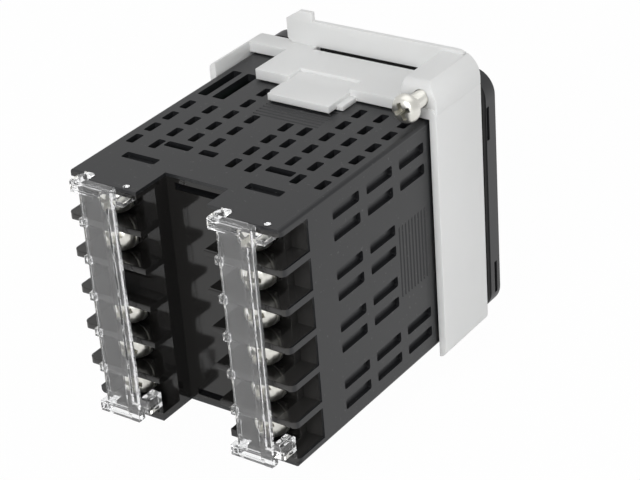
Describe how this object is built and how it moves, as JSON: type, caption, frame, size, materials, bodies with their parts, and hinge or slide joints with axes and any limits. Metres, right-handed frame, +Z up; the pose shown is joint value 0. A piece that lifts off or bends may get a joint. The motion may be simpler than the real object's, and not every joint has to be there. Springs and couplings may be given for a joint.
{
  "type": "pid temperature controller",
  "caption": "Square panel-mount temperature controller with push-on mounting adapter, screw terminals under clear covers, display window and keys.",
  "frame": {"origin": "centre of the panel seat, in the plane of the rear face of the bezel flange", "axes": "+Y back through the panel and the case towards the terminals, +Z up, +X to the right for someone reading the display"},
  "size_m": [0.048, 0.0668, 0.062],
  "materials": {
    "case_black": "fine moulded satin, black",
    "bezel_black": "moulded satin, black",
    "window_smoke": "polished smoked lens",
    "gasket_rubber": "matt black rubber",
    "adapter_nylon": "translucent natural nylon",
    "key_grey": "fine moulded grey",
    "board_green": "green solder mask",
    "component_black": "moulded component body",
    "component_yellow": "tape-wound coil",
    "capacitor_sleeve": "shrunk sleeve",
    "connector_white": "moulded connector",
    "bright_zinc": "bright zinc plate",
    "clear_cover": "clear polycarbonate"
  },
  "bodies": {
    "housing": {"rear_case": "case_black", "front_bezel": "bezel_black", "display_window": "window_smoke", "panel_gasket": "gasket_rubber", "front_board": "board_green", "display_module": "component_black", "main_board": "board_green", "power_board": "board_green", "board_connectors": "connector_white", "transformer": "component_yellow", "relay": "component_black", "terminal_screws": "bright_zinc", "terminal_washers": "bright_zinc", "terminal_plates": "bright_zinc", "tact_switches": "component_black", "capacitors": "capacitor_sleeve"},
    "adapter": {"mounting_adapter": "adapter_nylon"},
    "clamp_screw_upper": {"clamp_screw_upper": "bright_zinc"},
    "clamp_screw_lower": {"clamp_screw_lower": "bright_zinc"},
    "left_terminal_cover": {"left_terminal_cover": "clear_cover"},
    "right_terminal_cover": {"right_terminal_cover": "clear_cover"},
    "key_mode": {"key_mode": "key_grey"},
    "key_shift": {"key_shift": "key_grey"},
    "key_down": {"key_down": "key_grey"},
    "key_up": {"key_up": "key_grey"}
  },
  "joints": [
    {"name": "adapter_slide", "type": "slide", "parent": "housing", "child": "adapter", "axis": [0, 1, 0], "range_m": [-0.0005, 0.009]},
    {"name": "clamp_screw_upper_travel", "type": "slide", "parent": "adapter", "child": "clamp_screw_upper", "axis": [0, -1, 0], "range_m": [0, 0.0035]},
    {"name": "clamp_screw_lower_travel", "type": "slide", "parent": "adapter", "child": "clamp_screw_lower", "axis": [0, -1, 0], "range_m": [0, 0.0035]},
    {"name": "left_terminal_cover_hinge", "type": "hinge", "parent": "housing", "child": "left_terminal_cover", "pos_m": [0.0091, 0.0591, 0], "axis": [0, 0, 1], "range_deg": [0, 90]},
    {"name": "right_terminal_cover_hinge", "type": "hinge", "parent": "housing", "child": "right_terminal_cover", "pos_m": [-0.0192, 0.0591, 0], "axis": [0, 0, 1], "range_deg": [0, 90]},
    {"name": "key_mode_press", "type": "slide", "parent": "housing", "child": "key_mode", "axis": [0, 1, 0], "range_m": [0, 0.00035], "stiffness_N_per_m": 600, "springref_m": -0.0005},
    {"name": "key_shift_press", "type": "slide", "parent": "housing", "child": "key_shift", "axis": [0, 1, 0], "range_m": [0, 0.00035], "stiffness_N_per_m": 600, "springref_m": -0.0005},
    {"name": "key_down_press", "type": "slide", "parent": "housing", "child": "key_down", "axis": [0, 1, 0], "range_m": [0, 0.00035], "stiffness_N_per_m": 600, "springref_m": -0.0005},
    {"name": "key_up_press", "type": "slide", "parent": "housing", "child": "key_up", "axis": [0, 1, 0], "range_m": [0, 0.00035], "stiffness_N_per_m": 600, "springref_m": -0.0005}
  ]
}
